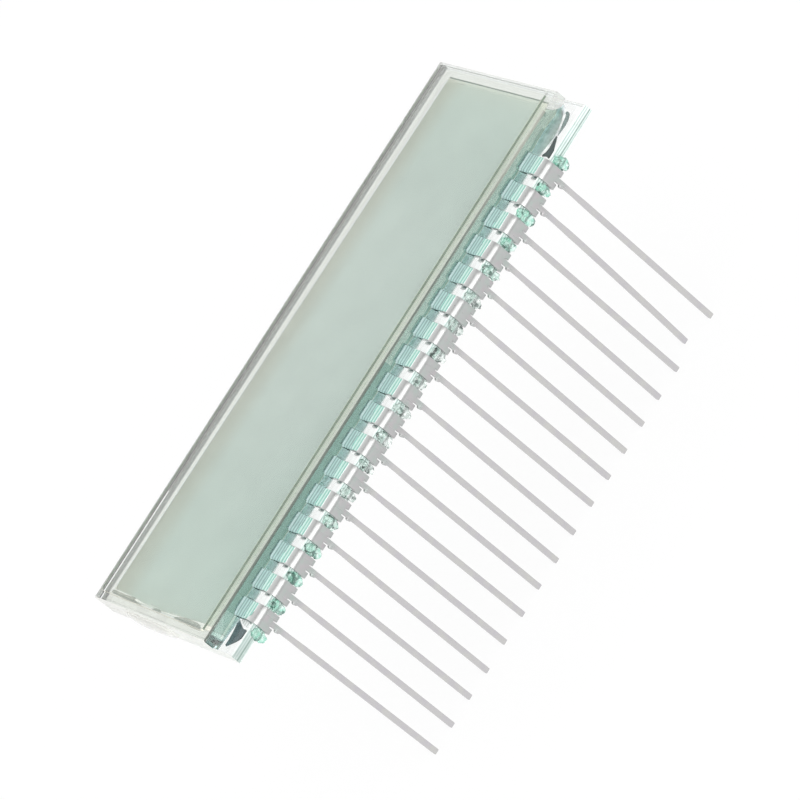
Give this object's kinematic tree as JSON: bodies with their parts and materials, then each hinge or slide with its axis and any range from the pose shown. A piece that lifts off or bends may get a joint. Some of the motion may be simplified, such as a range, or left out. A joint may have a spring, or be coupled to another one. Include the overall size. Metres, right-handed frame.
{
  "type": "segment liquid crystal display",
  "caption": "Reflective segment LCD glass cell with front and rear polarisers and one row of clip-on pins held by clear resin, for soldering upright into a circuit board",
  "frame": {"origin": "centre of the middle pin, level with the pin tips", "axes": "+X along the pin row to the right as the display is read, +Y from the pins across the glass, +Z out of the display face; the pins point down, along -Z"},
  "size_m": [0.0508, 0.0185, 0.0224],
  "materials": {
    "glass": "clear soda-lime glass with seamed edges",
    "polariser": "anti-glare polariser film",
    "reflector": "satin reflector foil",
    "seal": "cured epoxy",
    "liquid_crystal": "clear fluid film",
    "resin": "clear light-cured resin",
    "tinned_strip": "bright tin plate on spring strip"
  },
  "bodies": {
    "root": {"contact_pin_01": "tinned_strip", "contact_pin_02": "tinned_strip", "contact_pin_03": "tinned_strip", "contact_pin_04": "tinned_strip", "contact_pin_05": "tinned_strip", "contact_pin_06": "tinned_strip", "contact_pin_07": "tinned_strip", "contact_pin_08": "tinned_strip", "contact_pin_09": "tinned_strip", "contact_pin_10": "tinned_strip", "contact_pin_11": "tinned_strip", "contact_pin_12": "tinned_strip", "contact_pin_13": "tinned_strip", "contact_pin_14": "tinned_strip", "contact_pin_15": "tinned_strip", "contact_pin_16": "tinned_strip", "contact_pin_17": "tinned_strip", "edge_resin_01": "resin", "edge_resin_02": "resin", "edge_resin_03": "resin", "edge_resin_04": "resin", "edge_resin_05": "resin", "edge_resin_06": "resin", "edge_resin_07": "resin", "edge_resin_08": "resin", "edge_resin_09": "resin", "edge_resin_10": "resin", "edge_resin_11": "resin", "edge_resin_12": "resin", "edge_resin_13": "resin", "edge_resin_14": "resin", "edge_resin_15": "resin", "edge_resin_16": "resin", "edge_resin_17": "resin", "edge_resin_18": "resin", "fill_port_plug": "resin", "front_glass": "glass", "front_polariser": "polariser", "ledge_resin": "resin", "liquid_crystal": "liquid_crystal", "perimeter_seal": "seal", "rear_glass": "glass", "rear_polariser": "polariser", "reflector_film": "reflector", "seal_island": "seal"}
  },
  "joints": []
}
